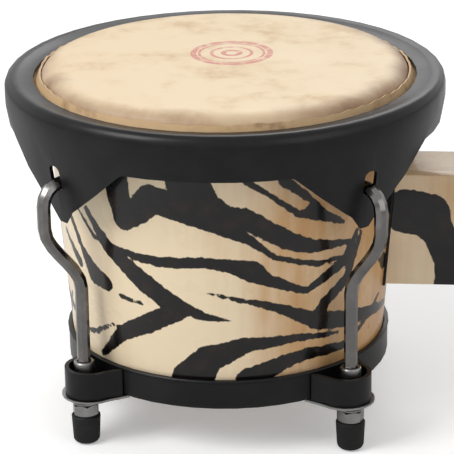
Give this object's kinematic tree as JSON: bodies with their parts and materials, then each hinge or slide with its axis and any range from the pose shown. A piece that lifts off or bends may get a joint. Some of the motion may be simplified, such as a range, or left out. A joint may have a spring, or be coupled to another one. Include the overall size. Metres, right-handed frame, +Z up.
{
  "type": "bongo drum",
  "caption": "Hand drum with a tapered wooden shell, rawhide head, black pressed rim, bent hook tuning rods, steel base ring and a wooden centre block.",
  "frame": {"origin": "centre of the bottom of the bounding box, on the surface that the four rubber feet stand on", "axes": "+Z up along the drum's axis, +X from the drum towards the centre block's free end"},
  "size_m": [0.2926, 0.2614, 0.2135],
  "materials": {
    "lacquered_wood": "gloss lacquer over light wood with dark zebra stripes",
    "rawhide": "satin rawhide, cream mottled with tan",
    "black_steel": "black satin coat",
    "dark_chrome": "dulled dark chrome",
    "dark_nickel": "darkened nickel with bright edges",
    "zinc_steel": "bright zinc",
    "insert_brass": "plain brass",
    "black_rubber": "matt black rubber"
  },
  "bodies": {
    "shell_assembly": {"shell": "lacquered_wood", "head_skin": "rawhide", "base_ring": "black_steel", "rod_ferrule_front_right": "dark_nickel", "rod_ferrule_back_right": "dark_nickel", "rod_ferrule_back_left": "dark_nickel", "rod_ferrule_front_left": "dark_nickel", "lug_plate_front_right": "dark_nickel", "lug_plate_back_right": "dark_nickel", "lug_plate_back_left": "dark_nickel", "lug_plate_front_left": "dark_nickel", "lug_washer_front_right": "dark_nickel", "lug_washer_back_right": "dark_nickel", "lug_washer_back_left": "dark_nickel", "lug_washer_front_left": "dark_nickel", "centre_block": "lacquered_wood", "block_gasket": "black_rubber", "block_backing_plate": "zinc_steel", "block_bolt_washer_lower": "zinc_steel", "block_bolt_washer_upper": "zinc_steel", "block_bolt_lower": "zinc_steel", "block_bolt_upper": "zinc_steel", "block_insert_near_lower": "insert_brass", "block_insert_near_upper": "insert_brass", "block_insert_far_lower": "insert_brass", "block_insert_far_upper": "insert_brass"},
    "tension_hoop": {"rim": "black_steel", "flesh_hoop": "zinc_steel", "tuning_rod_front_right": "dark_chrome", "tuning_rod_back_right": "dark_chrome", "tuning_rod_back_left": "dark_chrome", "tuning_rod_front_left": "dark_chrome", "rubber_foot_front_right": "black_rubber", "rubber_foot_back_right": "black_rubber", "rubber_foot_back_left": "black_rubber", "rubber_foot_front_left": "black_rubber"},
    "nut_front_right": {"tuning_nut_front_right": "dark_nickel"},
    "nut_back_right": {"tuning_nut_back_right": "dark_nickel"},
    "nut_back_left": {"tuning_nut_back_left": "dark_nickel"},
    "nut_front_left": {"tuning_nut_front_left": "dark_nickel"}
  },
  "joints": [
    {"name": "head_tension", "type": "slide", "parent": "shell_assembly", "child": "tension_hoop", "axis": [0, 0, -1], "range_m": [0, 0.00423], "deforming": ["head_skin"]},
    {"name": "nut_front_right_turn", "type": "hinge", "parent": "shell_assembly", "child": "nut_front_right", "pos_m": [0.06286, -0.07844, 0.0214], "axis": [0, 0, 1], "range_deg": [0, 1080]},
    {"name": "nut_back_right_turn", "type": "hinge", "parent": "shell_assembly", "child": "nut_back_right", "pos_m": [0.06286, 0.07844, 0.0214], "axis": [0, 0, 1], "range_deg": [0, 1080]},
    {"name": "nut_back_left_turn", "type": "hinge", "parent": "shell_assembly", "child": "nut_back_left", "pos_m": [-0.09402, 0.07844, 0.0214], "axis": [0, 0, 1], "range_deg": [0, 1080]},
    {"name": "nut_front_left_turn", "type": "hinge", "parent": "shell_assembly", "child": "nut_front_left", "pos_m": [-0.09402, -0.07844, 0.0214], "axis": [0, 0, 1], "range_deg": [0, 1080]}
  ],
  "couplings": [
    {"joint": "nut_front_right_turn", "follows": "head_tension", "rad_per_m": 4452.6},
    {"joint": "nut_back_right_turn", "follows": "head_tension", "rad_per_m": 4452.6},
    {"joint": "nut_back_left_turn", "follows": "head_tension", "rad_per_m": 4452.6},
    {"joint": "nut_front_left_turn", "follows": "head_tension", "rad_per_m": 4452.6}
  ]
}
